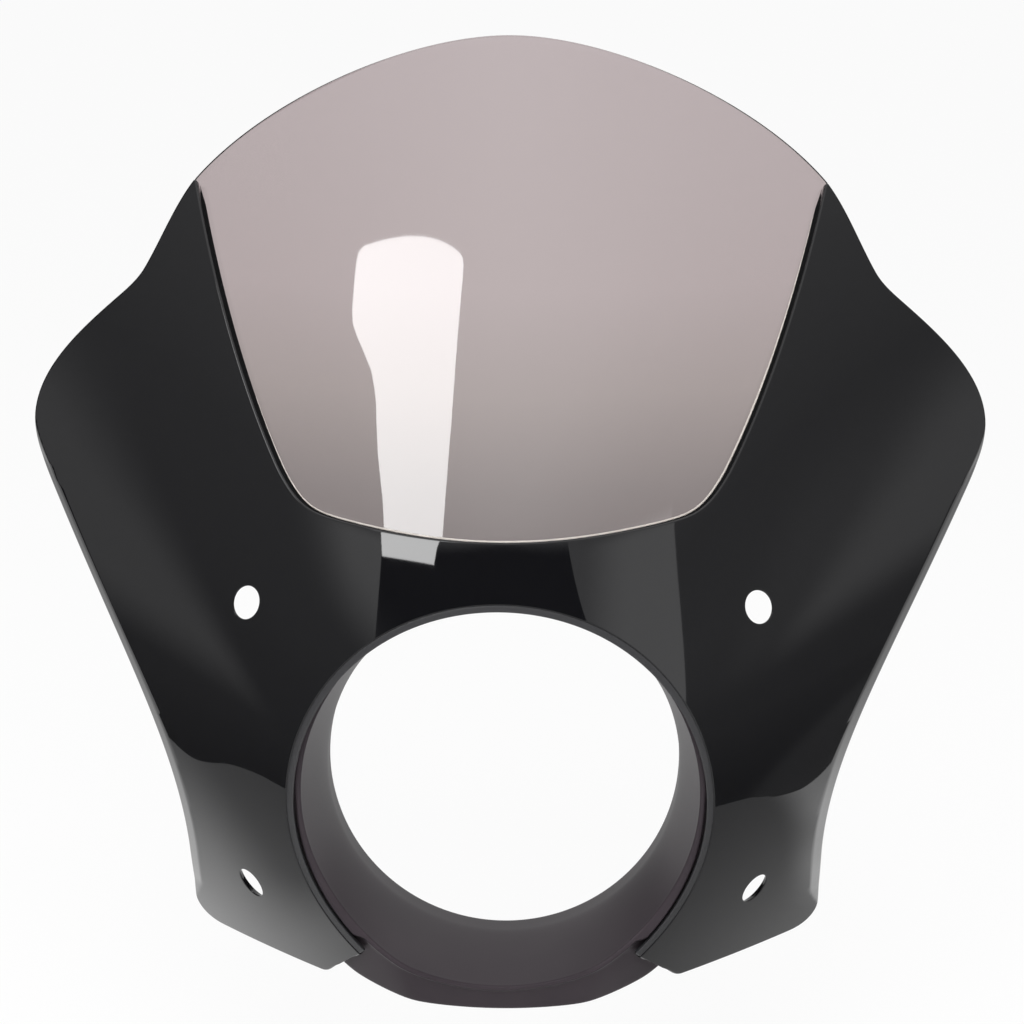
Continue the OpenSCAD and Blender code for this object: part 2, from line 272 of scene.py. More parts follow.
def into_wall(path):
    """Unit front-view direction square to a path, towards its left: the directions of the
    two steps that meet at a point are added and turned by a right angle."""
    steps = np.diff(path, axis=0)
    steps /= np.linalg.norm(steps, axis=-1, keepdims=True)
    along = np.concatenate([steps[:1], steps[:-1] + steps[1:], steps[-1:]])
    left = np.stack([-along[:, 1], along[:, 0]], axis=-1)
    return left / np.linalg.norm(left, axis=-1, keepdims=True)


def lip_back(distance, heights, stations):
    """How far the flank's lip turns back. Counted from LIP_TURN inside its width it grows
    as a parabola, and past LIP_TURN outside it by LIP_RISE for each millimetre. The width
    grows by LIP_SPREAD down the flank, and is nought above the ear's tip and past the foot."""
    grown = np.clip((LIP_TOP - heights) / (LIP_TOP - LIP_FULL), 0, 1)
    share = np.minimum(grown, np.clip((heights - LIP_FOOT) / LIP_FADE, 0, 1))
    full = LIP_WIDTH + LIP_SPREAD * np.clip((LIP_FULL - heights) / SPREAD_DROP, 0, 1)
    width = np.where(stations < EAR_STATION, (full + LIP_TURN) * share, 0) - LIP_TURN
    gap = width - distance
    bend = np.clip(gap + LIP_TURN, 0, 2 * LIP_TURN) ** 2 / (4 * LIP_TURN)
    return LIP_RISE * (bend + np.maximum(gap - LIP_TURN, 0))


# %% The shell's cross-sections
def shell_sections(side):
    """Closed loops for one half: the rim's profile, straight rows from the rim to the
    outline, quarter circles of EDGE_ROUND at the edge, and the same behind."""
    mirror = np.array([side, 1.0])
    start = from_opening(OPENING_R, rim_angle)
    to_rim = start - outline
    to_rim /= np.linalg.norm(to_rim, axis=-1, keepdims=True)
    travelled = np.concatenate([[0], np.cumsum(np.linalg.norm(np.diff(outline, axis=0), axis=-1))])
    settle = np.clip(travelled / TIP_SETTLE, 0, 1)[:, None]
    way_in = settle * into_wall(outline) + (1 - settle) * to_rim
    way_in[-1] = [0, -1]
    way_in /= np.linalg.norm(way_in, axis=-1, keepdims=True)
    inset = outline + EDGE_ROUND * way_in
    length = np.linalg.norm(inset - start, axis=-1)
    along = (inset - start) / length[:, None]
    shares = np.linspace(0, 1, MIDDLE_ROWS + 1)[1:-1]
    first, last = NEAR_RIM[-1], length - NEAR_EDGE[0]
    steps = [np.full_like(length, d) for d in NEAR_RIM]
    steps += [first + s * (last - first) for s in shares]
    steps += [length - d for d in NEAR_EDGE]
    stations = np.arange(len(outline))

    def put(place, depth):
        off = np.sum((place - outline) * way_in, axis=-1)
        points = on_face(place * mirror, depth)
        points[:, 1] += lip_back(off, outline[:, 1], stations)
        return points

    def behind(distance, depth):
        p = from_opening(OPENING_R - distance, rim_angle) * mirror
        return np.stack([p[:, 0], face_y(p[:, 0], p[:, 1]) + depth, p[:, 1]], axis=-1)

    def clear_of_rim(d):
        return np.where(d < first, BACK_START + d * (1 - BACK_START / first), d)

    def rounded(turn, is_back):
        depth = EDGE_ROUND * (1 - np.sin(turn))
        place = inset - EDGE_ROUND * np.cos(turn) * way_in
        return put(place, SHELL_WALL - depth if is_back else depth)

    turns = np.radians(np.linspace(90, 0, 5))[1:]
    rows = [behind(*step) for step in RIM_FRONT]
    rows += [put(start + d[:, None] * along, 0.0) for d in steps]
    rows += [rounded(turn, False) for turn in turns]
    rows += [rounded(turn, True) for turn in turns[::-1]]
    rows += [put(start + clear_of_rim(d)[:, None] * along, SHELL_WALL) for d in steps[::-1]]
    rows += [behind(*step) for step in RIM_BACK]
    return np.stack(rows, axis=1)


sections = np.concatenate([shell_sections(-1), shell_sections(1)[-2::-1]])
FACE_COUNT = len(NEAR_RIM) + MIDDLE_ROWS - 1 + len(NEAR_EDGE)
FRONT_FACE = slice(len(RIM_FRONT), len(RIM_FRONT) + FACE_COUNT)
print("sections:", sections.shape[0], "- points in each:", sections.shape[1])

# %% [markdown]
# ## Bolt holes in a curved wall
#
# The four holes go through the wall with a slightly broken edge. They are taken to widen
# behind it, because in the photograph they show pale all over. A boolean would leave
# ragged triangles that show in a gloss surface. So a block of the grid is left out round
# each hole, and rings of points fill the space between the block's border and a true
# circle. Every ring point is put back on the face formula.

# %% Rings round a bolt hole
BOLT_R, HOLE_BREAK, HOLE_RELIEF = 7.0, 0.35, 2.4
BLOCK_CLEAR, EVEN_SHARE = 7, 0.6
BOLTS = [(106.3, 75.2), (107.3, -51.4)]


def hole_plane(place):
    """Unit directions at a place of the face: into the wall, across and up in its plane."""
    n = inward(*place)
    across = np.cross(n, [0, 0, 1.0])
    across /= np.linalg.norm(across)
    return n, across, np.cross(across, n)


def hole_circle(place, radius, turns):
    """Front-view places where a cylinder square to the face meets it: centre plus
    radius*(cos, sin) in the face's own plane, slid along the normal onto the face."""
    n, across, up = hole_plane(place)
    p = on_face(place) + radius * (np.cos(turns)[:, None] * across + np.sin(turns)[:, None] * up)
    for _ in range(5):
        p = p + ((face_y(p[:, 0], p[:, 2]) - p[:, 1]) * n[1])[:, None] * n
    return p[:, [0, 2]]


def hole_turns(place, points):
    """Angle of each point round the hole's axis, in the same plane as hole_circle."""
    _, across, up = hole_plane(place)
    away = points - on_face(place)
    return np.arctan2(away @ up, away @ across)


def bolt_block(place, front):
    """First and last section and row of the grid block that clears the hole."""
    near = np.linalg.norm(front - on_face(place), axis=-1) < BOLT_R + BLOCK_CLEAR
    i, j = np.nonzero(near)
    return i.min(), i.max() + 1, j.min(), j.max() + 1


def fill_round_hole(place, border, points):
    """Rings from the block's border in front, over the broken edge, through the wall and
    out to the border behind. Shares of the way: 0 at the border, 1 at the hole."""
    turns = np.unwrap(hole_turns(place, points[border]))
    whole = np.sign(turns[-1] - turns[0]) * 2 * np.pi
    even = turns[0] + np.linspace(0, whole, len(turns) + 1)[:-1]
    turns = turns + EVEN_SHARE * (even - turns)
    outer = points[border][:, [0, 2]]
    inner = hole_circle(place, BOLT_R + HOLE_BREAK, turns)
    wall = hole_circle(place, BOLT_R, turns)
    shares = [0.25, 0.5, 0.75, 0.93, 1.0]
    rings = [on_face(outer + s * (inner - outer)) for s in shares]
    for t in np.radians([30, 60, 90]):
        rings.append(on_face(inner + np.sin(t) * (wall - inner), HOLE_BREAK * (1 - np.cos(t))))
    rings.append(on_face(wall, 2 * HOLE_BREAK))
    inner = hole_circle(place, BOLT_R + HOLE_RELIEF + HOLE_BREAK, turns)
    wall = hole_circle(place, BOLT_R + HOLE_RELIEF, turns)
    for t in np.radians([90, 60, 30]):
        deep = SHELL_WALL - HOLE_BREAK * (1 - np.cos(t))
        rings.append(on_face(inner + np.sin(t) * (wall - inner), deep))
    rings += [on_face(outer + s * (inner - outer), SHELL_WALL) for s in shares[::-1]]
    return np.array(rings)


# %% [markdown]
# ## The shell, put together
#
# The grid of sections is one long strip that goes from the left chin end up over the
# window and down to the right chin end. Quads cover it, the blocks at the bolts are left
# out and filled with rings, and the two chin ends are closed.

# %% Build the shell
def build_shell():
    """One mesh: the strip's quads, four ring patches, and the closed chin ends. Points that
    lie on the face get the formula's own normal, so that the gloss shows no grid."""
    around = sections.shape[1]
    capped = round_ends(sections)
    index = np.arange(capped.shape[0] * around).reshape(-1, around)
    points = [capped.reshape(-1, 3)]
    keep = np.ones((capped.shape[0] - 1, around), bool)
    faces, used = [], capped.shape[0] * around
    for side in (-1, 1):
        for x, z in BOLTS:
            place = np.array([side * x, z])
            i0, i1, j0, j1 = bolt_block(place, capped[:, FRONT_FACE])
            j0, j1 = j0 + FRONT_FACE.start, j1 + FRONT_FACE.start
            border = np.concatenate([
                index[i0, j0:j1], index[i0:i1, j1], index[i1, j1:j0:-1], index[i1:i0:-1, j0]
            ])
            mate = around - 1 - border % around + border // around * around
            rings = fill_round_hole(place, border, points[0])
            ring_index = used + np.arange(rings[..., 0].size).reshape(rings.shape[:2])
            points.append(rings.reshape(-1, 3))
            used += ring_index.size
            rows = np.concatenate([border[None], ring_index, mate[None]])
            faces.append(strip_quads(np.concatenate([rows, rows[:, :1]], axis=1)))
            keep[i0:i1, j0:j1] = False
            keep[i0:i1, around - 1 - j1 : around - 1 - j0] = False
    closed = np.concatenate([index, index[:, :1]], axis=1)
    skin = strip_quads(closed).reshape(capped.shape[0] - 1, around, 4)[keep]
    faces += [skin, ladder(index[0]), ladder(index[-1])[:, ::-1]]
    points = np.concatenate(points)
    x, z = points[:, 0], points[:, 2]
    on_front = np.abs(points[:, 1] - face_y(x, z)) < 1e-4
    normals = np.where(on_front[:, None], -inward(x, z), 0)
    print("points with the formula's normal:", int(on_front.sum()))
    return points, np.concatenate(faces), normals


shell_points, shell_quads, shell_normals = build_shell()
shell = make_piece(
    "cowl_shell_skin", shell_points, shell_quads, "shell", "cowl_shell", normals=shell_normals
)

# %% [markdown]
# ## The smoked screen
#
# The real screen is a sheet of polycarbonate, formed over the same shape as the shell and
# bonded behind the window along a narrow lap. So it uses the same face formula, one wall
# and a thin bond further back. Its lower edge follows the window at the lap's distance,
# and its upper edge is one curve from corner to corner. Both edges are polished round.

# %% The screen's edges
SCREEN_WALL, SCREEN_TOP, SCREEN_LAP, SCREEN_TIP, BOND_GAP = 3.0, 305.0, 9.0, 7.0, 0.3
SCREEN_STEPS, SCREEN_ROWS, SCREEN_EDGE = 130, 84, 1.1
SILL_END, ROUND_SHARE, SIDE_START, LAP_FADE, CORNER_LAP = 0.34, 0.16, 0.5, 0.31, 2.2
_, ROUND_RUN, SILL_RUN = RUNS[-3:]
SIDE_RUN = (CORNER, window_side, (-0.064, -0.246), (-0.17, -0.288))
screen_corner = CORNER + np.array([CORNER_LAP, 0.5])
TOP_RUN = (np.array([0, SCREEN_TOP]), screen_corner, (0.3, 0), (0.198, -0.225))


def window_edge(u):
    """The window's edge from the middle of the sill (0) to the upper corner (1)."""
    sill = run_points(SILL_RUN, 1 - np.clip(u / SILL_END, 0, 1))
    turn = run_points(ROUND_RUN, 1 - np.clip((u - SILL_END) / ROUND_SHARE, 0, 1))
    side = run_points(SIDE_RUN, 1 - np.clip((u - SIDE_START) / (1 - SIDE_START), 0, 1))
    above = np.where((u < SIDE_START)[:, None], turn, side)
    return np.where((u < SILL_END)[:, None], sill, above)


def window_outward(u):
    """Unit front-view direction out of the window, square to its edge at u."""
    along = window_edge(np.minimum(u + 0.01, 1)) - window_edge(np.maximum(u - 0.01, 0))
    outward = np.stack([along[:, 1], -along[:, 0]], axis=-1)
    return outward / np.linalg.norm(outward, axis=-1, keepdims=True)


def both_sides(u):
    """(-1, 1) on the left, where u is negative, and (1, 1) on the right."""
    return np.stack([np.where(u < 0, -1.0, 1.0), np.ones_like(u)], axis=-1)


def screen_low(u):
    """The window's edge moved outwards by the lap, which narrows towards the corner."""
    lap = np.maximum(SCREEN_LAP * np.minimum(1, (1 - u) / LAP_FADE), CORNER_LAP)
    tip = np.stack([np.zeros_like(u), SCREEN_TIP * u**6], axis=-1)
    return window_edge(u) + lap[:, None] * window_outward(u) - tip

# %% Build the screen
def screen_sections():
    """Closed loops up the outer face and down the inner one, with half-round edges."""
    u = np.linspace(-1, 1, 2 * SCREEN_STEPS + 1)
    mirror = both_sides(u)
    low, top = screen_low(np.abs(u)), run_points(TOP_RUN, np.abs(u))
    rise = (top - low) / np.linalg.norm(top - low, axis=-1, keepdims=True)
    outer = SHELL_WALL + BOND_GAP
    first, last = low + SCREEN_EDGE * rise, top - SCREEN_EDGE * rise
    turns = np.radians(np.linspace(0, 90, 5))[:-1]

    def put(place, depth):
        return on_face(place * mirror, outer + depth)

    def rounded(end, way, t, behind):
        depth = SCREEN_EDGE * (1 - np.sin(t))
        return put(end + SCREEN_EDGE * np.cos(t) * way, SCREEN_WALL - depth if behind else depth)

    shares = np.linspace(0, 1, SCREEN_ROWS + 1)
    rows = [rounded(first, -rise, t, False) for t in turns]
    rows += [put(first + s * (last - first), 0) for s in shares]
    rows += [rounded(last, rise, t, False) for t in turns[::-1]]
    rows += [rounded(last, rise, t, True) for t in turns]
    rows += [put(first + s * (last - first), SCREEN_WALL) for s in shares[::-1]]
    rows += [rounded(first, -rise, t, True) for t in turns[::-1]]
    return np.stack(rows, axis=1)


def build_strip(loops):
    """Quads over closed loops, with both ends closed like a ladder."""
    index = np.arange(loops[..., 0].size).reshape(loops.shape[:2])
    closed = np.concatenate([index, index[:, :1]], axis=1)
    faces = [strip_quads(closed), ladder(index[0]), ladder(index[-1])[:, ::-1]]
    return loops.reshape(-1, 3), np.concatenate(faces)


screen = make_piece("windscreen_pane", *build_strip(screen_sections()), "screen", "windscreen")

# %% [markdown]
# ## Painted shade strip and bead in the window
#
# The pane is bonded behind the window. The photograph shows a dark line round the window
# and a thin pale one beside it. The dark line is painted shade: a matt black strip over the
# window's cut wall stands in for the shade there. The pale one is taken to be a bead of clear
# adhesive on the pane. Both are small profiles carried along the window's edge.

# %% Build the painted shade strip and the bead
PANE_FRONT = SHELL_WALL + BOND_GAP
# The painted shade strip's profile, as (distance outwards from the window's edge, depth).
SHADE_STRIP_PROFILE = [(0.05, 0.8), (-0.14, 0.95), (-0.32, 2.2), (-0.7, 3.05), (-1.0, 3.27), (0.05, 3.29)]
SHADE_STRIP_END, SHADE_STRIP_FADE = 0.985, 0.04
BEAD_R, BEAD_INSET, BEAD_START, BEAD_END, BEAD_FADE = 0.45, 1.1, -0.62, 0.93, 0.3


def along_window(u, profile):
    """Profile points (outwards, depth) placed at the signed share u of the window's edge;
    the direction outwards is square to the edge there."""
    edge, outward, mirror = window_edge(np.abs(u)), window_outward(np.abs(u)), both_sides(u)
    rows = [on_face((edge + out[:, None] * outward) * mirror, deep) for out, deep in profile]
    return np.stack(rows, axis=1)


def shade_strip_sections():
    """The painted shade strip's profile, drawn in to nothing over the last 4 % at each end."""
    u = np.linspace(-SHADE_STRIP_END, SHADE_STRIP_END, 361)
    full = np.clip((SHADE_STRIP_END - np.abs(u)) / SHADE_STRIP_FADE, 0.1, 1)
    return along_window(
        u, [(out * full, PANE_FRONT + (deep - PANE_FRONT) * full) for out, deep in SHADE_STRIP_PROFILE]
    )


def bead_sections():
    """Circles beside the painted shade strip, of BEAD_R where the bead is full and thin at its
    ends.
    """
    u = np.concatenate([np.linspace(BEAD_START, 0, 100), np.linspace(0, BEAD_END, 150)[1:]])
    full = np.clip((u - BEAD_START) / BEAD_FADE, 0, 1)
    full = full * np.clip((BEAD_END - u) / BEAD_FADE, 0, 1)
    radius = BEAD_R * (0.15 + 0.85 * full)
    turns = np.linspace(0, 2 * np.pi, 12, endpoint=False)
    return along_window(
        u, [(np.cos(t) * radius - BEAD_INSET, PANE_FRONT + np.sin(t) * radius) for t in turns]
    )


# Painted shade: a matt black strip over the window's cut wall, where the wall is in shade.
painted_shade_strip = make_piece("window_painted_shade_strip", *build_strip(shade_strip_sections()), "shell")
bead = make_piece("window_adhesive_bead", *build_strip(bead_sections()), "screen")

# %% [markdown]
# ## The headlight collar
#
# The collar is a turned-looking moulding: a straight sleeve that grips the lamp, a cone
# that opens forwards, a lip, and a flange bonded behind the shell. The flange isn't
# round: it is flat under the screen and follows a wide arc at the chin. So the profile
# is a function of the angle, and one closed loop per angle is joined to the next.

# %% The collar's profile
BORE_R, BORE_LEN, COLLAR_WALL, COLLAR_GAP = 75.0, 14.0, 2.5, 0.3
LIP_R, LIP_W, LIP_LEAD, RIM_SLIT = 82.2, 2.4, 1.4, 0.7
FLANGE_R, FLANGE_TOP, CHIN_Z, CHIN_R = 105.0, 94.6, -94.4, 205.0
CHIN_REACH, CHIN_LEAN, CHIN_BLEND = 66.0, 0.45, 3.0
RING_STEPS, FLANGE_ROWS, CONE_FLARE = 480, 16, 1.35
# Radii of the broken edges at the sleeve's ends, inside and outside the lip, and at the flange.
SLEEVE_ROUND, LIP_ROUND, LIP_EDGE, FLANGE_ROUND = 0.5, 1.2, 0.9, 1.1


def soft_max(a, b, r):
    """The larger of two values, with a rounded change from one to the other."""
    return (a + b + np.sqrt((a - b) ** 2 + r * r)) / 2


def flange_y(x, z):
    """Front of the flange: it follows the shell's rim, and a sloped plane at the chin."""
    chin = -CHIN_REACH - CHIN_LEAN * (z + LIP_R)
    return soft_max(face_y(x, z) + RIM_R + 1.5 * RIM_LAND + COLLAR_GAP, chin, CHIN_BLEND)


def flange_edge(a):
    """Distance from the axis to the flange's edge: the circle, the flat or the chin arc,
    whichever is nearest, with rounded changes."""
    s = np.sin(a)
    flat = np.where(s > 0.5, FLANGE_TOP / np.maximum(s, 0.5), 2 * FLANGE_R)
    c = CHIN_Z + CHIN_R
    arc = c * s + np.sqrt((c * s) ** 2 + CHIN_R**2 - c * c)
    nearest = np.minimum(flat, np.where(s < -0.2, arc, 2 * FLANGE_R))
    return -soft_max(-FLANGE_R, -nearest, CHIN_BLEND / 2)


def lip_room(a):
    """Space between the lip at its plain width and the shell's rim."""
    r, c = OPENING_R - RIM_R, OPENING_DROP * np.cos(a)
    return -OPENING_DROP * np.sin(a) + np.sqrt(r * r - c * c) - LIP_R - LIP_W


def lip_lead(a):
    """How far the lip leads the flange: only where it clears the shell's rim."""
    room = lip_room(a) - COLLAR_GAP
    return LIP_LEAD * np.clip(room / (2 * COLLAR_GAP), 0, 1)


def lip_width(a):
    """The lip reaches to RIM_SLIT from the shell's rim. At the chin, where there is no
    rim, it is LIP_W wide."""
    return LIP_W + np.maximum(lip_room(a) - RIM_SLIT, 0) * np.clip((np.sin(a) + 0.74) / 0.03, 0, 1)


# %% Build the collar
def collar_sections():
    """Loops of (radius, y) at every angle: sleeve, cone, lip, flange, edge and back."""
    a = np.linspace(0, 2 * np.pi, RING_STEPS, endpoint=False)
    out = LIP_R + LIP_W
    lead, edge = lip_lead(a), flange_edge(a)
    y = flange_y(out * np.cos(a), out * np.sin(a)) - lead
    out = LIP_R + lip_width(a)
    stock = COLLAR_WALL / 3
    rows = []

    def at(r, depth):
        r, y_there = np.broadcast_to(r, a.shape), np.broadcast_to(depth, a.shape)
        rows.append(np.stack([r * np.cos(a), y_there, r * np.sin(a)], axis=-1))

    def on_flange(r, depth):
        at(r, flange_y(r * np.cos(a), r * np.sin(a)) + depth)

    for t in np.radians([0, 45, 90]):
        at(BORE_R + SLEEVE_ROUND * (1 - np.sin(t)), -SLEEVE_ROUND * (1 - np.cos(t)))
    for s in np.linspace(0.1, 1, 8):
        at(BORE_R, -BORE_LEN * s)
    for s in np.linspace(0, 1, 26)[1:]:
        at(BORE_R + s**CONE_FLARE * (LIP_R - BORE_R), (1 - s) * -BORE_LEN + s * (y + LIP_ROUND))
    for t in np.radians([15, 30, 45, 60, 75, 90]):
        at(LIP_R + LIP_ROUND * (1 - np.cos(t)), y + LIP_ROUND * (1 - np.sin(t)))
    drop = np.minimum(LIP_ROUND, lead + stock / 4)
    for t in np.radians([85, 70, 50, 30, 10]):
        at(out - LIP_EDGE + LIP_EDGE * np.cos(t), y + drop * (1 - np.sin(t)))
    root = out + LIP_W / 4
    for s in np.linspace(0, 1, FLANGE_ROWS):
        on_flange(root + s * (edge - FLANGE_ROUND - root), stock / 4)
    for t in np.radians([67.5, 45, 22.5, 0]):
        r = edge - FLANGE_ROUND + FLANGE_ROUND * np.cos(t)
        on_flange(r, stock / 4 + FLANGE_ROUND * (1 - np.sin(t)))
    for t in np.radians([0, 22.5, 45, 67.5]):
        r = edge - FLANGE_ROUND + FLANGE_ROUND * np.cos(t)
        on_flange(r, COLLAR_WALL - FLANGE_ROUND * (1 - np.sin(t)))
    for s in np.linspace(1, 0, FLANGE_ROWS):
        on_flange(root + s * (edge - FLANGE_ROUND - root), COLLAR_WALL)
    back_r, back_y = LIP_R + 0.85 * COLLAR_WALL, y + lead + 1.6 * COLLAR_WALL
    for s in np.linspace(0, 1, 20):
        r = back_r + s * (BORE_R + 1.1 * COLLAR_WALL - back_r)
        at(r, back_y + s * (-BORE_LEN - stock - back_y))
    for s in np.linspace(0.15, 0.96, 7):
        at(BORE_R + COLLAR_WALL, (1 - s) * -BORE_LEN)
    for t in np.radians([30, 60, 90]):
        at(BORE_R + COLLAR_WALL - SLEEVE_ROUND * (1 - np.cos(t)), -SLEEVE_ROUND * (1 - np.sin(t)))
    return np.stack(rows, axis=1)


def build_ring(loops):
    """Quads over closed loops that also meet end to end."""
    index = np.arange(loops[..., 0].size).reshape(loops.shape[:2])
    closed = np.concatenate([index, index[:, :1]], axis=1)
    closed = np.concatenate([closed, closed[:1]])
    return loops.reshape(-1, 3), strip_quads(closed)


collar = make_piece(
    "headlight_collar_ring", *build_ring(collar_sections()), "collar", "headlight_collar"
)


# %% [markdown]
# ## Colours and nodes
#
# Blender's sockets take linear colours, while a colour picker shows sRGB hex values, so
# one function converts. One more adds a node, sets it up and links it.

# %% Colour and node helpers
def linear(hex_colour):
    """Hex sRGB to linear: c/12.92 below 0.04045, else ((c + 0.055)/1.055)^2.4."""
    c = np.array([int(hex_colour[k : k + 2], 16) for k in (1, 3, 5)]) / 255
    value = np.where(c <= 0.04045, c / 12.92, ((c + 0.055) / 1.055) ** 2.4)
    return (*value.tolist(), 1.0)


def add(tree, kind, settings=None, inputs=None):
    """Adds a node: settings are its own properties, and each input gets a value or the
    output socket of an earlier node."""
    node = tree.nodes.new(kind)
    for name, value in (settings or {}).items():
        setattr(node, name, value)
    for name, value in (inputs or {}).items():
        if isinstance(value, bpy.types.NodeSocket):
            tree.links.new(value, node.inputs[name])
        else:
            node.inputs[name].default_value = value
    return node


def new_material(name):
    """An empty node tree, and the object's own coordinates in metres."""
    material = bpy.data.materials.new(name)
    material.use_nodes = True
    material.node_tree.nodes.clear()
    place = add(material.node_tree, "ShaderNodeTexCoord").outputs["Object"]
    return material, material.node_tree, place


def finish_material(material, shader, pieces):
    """Links the shader to the output and gives the material to the pieces."""
    tree = material.node_tree
    add(tree, "ShaderNodeOutputMaterial", inputs={"Surface": shader})
    for piece in pieces:
        piece.data.materials.clear()
        piece.data.materials.append(material)
    print("material", material.name, "on", [piece.name for piece in pieces])


# %% [markdown]
# ## Gloss black ABS
#
# The shell is moulded ABS with a high polish. To the eye it is nearly all reflection: the
# plastic under the gloss is close to black, and IOR 1.5 gives 4 % of what stands in
# front and much more at a glancing angle. The polish isn't perfect. Slow sinks in the
# wall, some 40 mm apart, bend a reflected edge by a hair. The ledge round the lamp was cut
# after moulding, so it has lost its gloss: there the plastic shows as a dull dark grey.

# %% The shell's material
material, tree, place = new_material("gloss black moulded ABS")
sinks = add(tree, "ShaderNodeTexNoise", inputs={"Vector": place, "Scale": 1 / 0.04, "Detail": 1.0})
sink_bump = add(
    tree,
    "ShaderNodeBump",
    inputs={"Height": sinks.outputs["Fac"], "Strength": 0.05, "Distance": 0.0003},
)
# Distance from the lamp opening's middle, seen from the front, tells ledge from face.
axis = add(
    tree,
    "ShaderNodeMapping",
    inputs={"Vector": place, "Location": (0, 0, OPENING_DROP * MM), "Scale": (1, 0, 1)},
)
radius = add(tree, "ShaderNodeVectorMath", {"operation": "LENGTH"}, {0: axis.outputs["Vector"]})
ledge = add(
    tree,
    "ShaderNodeMapRange",
    inputs={
        "Value": radius.outputs["Value"],
        "From Min": (OPENING_R - 0.55) * MM,
        "From Max": (OPENING_R - 0.75) * MM,
    },
)
cut_marks = add(
    tree, "ShaderNodeTexNoise", inputs={"Vector": place, "Scale": 1 / 0.0008, "Detail": 2.0}
)
cut_tone = add(
    tree,
    "ShaderNodeMapRange",
    inputs={"Value": cut_marks.outputs["Fac"], "To Min": 0.42, "To Max": 0.55},
)
haze = add(
    tree,
    "ShaderNodeMix",
    {"data_type": "FLOAT"},
    {"Factor": ledge.outputs["Result"], "A": 0.022, "B": cut_tone.outputs["Result"]},
)
black = add(
    tree,
    "ShaderNodeMix",
    {"data_type": "RGBA"},
    {0: ledge.outputs["Result"], 6: linear("#0d0d0f"), 7: linear("#2b2b2d")},
)
gloss = add(
    tree,
    "ShaderNodeBsdfPrincipled",
    inputs={
        "Base Color": black.outputs[2],
        "Roughness": haze.outputs[0],
        "IOR": 1.5,
        "Normal": sink_bump.outputs["Normal"],
    },
)
finish_material(material, gloss.outputs["BSDF"], [shell])

# %% [markdown]
# ## Smoked polycarbonate
#
# The screen is a tinted clear sheet. Light is lost on the way through the 3 mm wall, so
# the pane looks darker where it is seen at a flatter angle. Its colour is also set darker
# towards the bottom. The edges look nearly black, because there the light travels along
# the sheet and not across it. The pane is taken to have a hard
# coat, which doubles the mirror shine.

# %% The screen's material
material, tree, place = new_material("smoked polycarbonate")
height = add(tree, "ShaderNodeSeparateXYZ", inputs={"Vector": place})
# The pane's colour is set darker towards the bottom, by its height.
pane_height_share = add(
    tree,
    "ShaderNodeMapRange",
    inputs={"Value": height.outputs["Z"], "From Min": 0.1, "From Max": 0.3},
)
tint = add(tree, "ShaderNodeValToRGB", inputs={"Fac": pane_height_share.outputs["Result"]})
SMOKE = [(0.0, "#7f7675"), (0.12, "#8e8584"), (0.3, "#a89d9b"), (0.5, "#b6a9a9"), (1.0, "#b8abac")]
while len(tint.color_ramp.elements) < len(SMOKE):
    tint.color_ramp.elements.new(0.5)
for stop, (position, colour) in zip(tint.color_ramp.elements, SMOKE):
    stop.position, stop.color = position, linear(colour)
ripple = add(tree, "ShaderNodeTexNoise", inputs={"Vector": place, "Scale": 1 / 0.06, "Detail": 0.0})
ripple_bump = add(
    tree,
    "ShaderNodeBump",
    inputs={"Height": ripple.outputs["Fac"], "Strength": 0.05, "Distance": 0.0003},
)
pane = add(
    tree,
    "ShaderNodeBsdfPrincipled",
    inputs={
        "Base Color": tint.outputs["Color"],
        "Roughness": 0.02,
        "IOR": 1.5,
        "Transmission Weight": 1.0,
        "Coat Weight": 1.0,
        "Coat Roughness": 0.02,
        "Coat IOR": 1.5,
        "Normal": ripple_bump.outputs["Normal"],
        "Coat Normal": ripple_bump.outputs["Normal"],
    },
)
finish_material(material, pane.outputs["BSDF"], [screen])

# %% [markdown]
# ## Clear adhesive
#
# The bead is coloured a pale grey with a soft shine, so it shows as a pale line. Small
# waves along it, a few millimetres long, come from the squeeze-out.

# %% The bead's material
material, tree, place = new_material("cured clear adhesive")
waves = add(tree, "ShaderNodeTexNoise", inputs={"Vector": place, "Scale": 1 / 0.004, "Detail": 1.0})
wave_bump = add(
    tree,
    "ShaderNodeBump",
    inputs={"Height": waves.outputs["Fac"], "Strength": 0.3, "Distance": 0.0002},
)
milky = add(tree, "ShaderNodeValToRGB", inputs={"Fac": waves.outputs["Fac"]})
milky.color_ramp.elements[0].color = linear("#a39c96")
milky.color_ramp.elements[1].color = linear("#c9c2bc")
adhesive = add(
    tree,
    "ShaderNodeBsdfPrincipled",
    inputs={
        "Base Color": milky.outputs["Color"],
        "Roughness": 0.25,
        "IOR": 1.43,
        "Normal": wave_bump.outputs["Normal"],
    },
)
finish_material(material, adhesive.outputs["BSDF"], [bead])

# %% [markdown]
# ## Painted shade on the window's cut wall
#
# The strip is painted shade: a black with next to no shine, so it reads as the darkest
# line on the object and stands in for the shade on the window's cut wall.

# %% The painted shade strip's material
material, tree, place = new_material("matt black painted shade")
lumps = add(
    tree, "ShaderNodeTexNoise", inputs={"Vector": place, "Scale": 1 / 0.0015, "Detail": 2.0}
)
lump_bump = add(
    tree,
    "ShaderNodeBump",
    inputs={"Height": lumps.outputs["Fac"], "Strength": 0.3, "Distance": 0.0001},
)
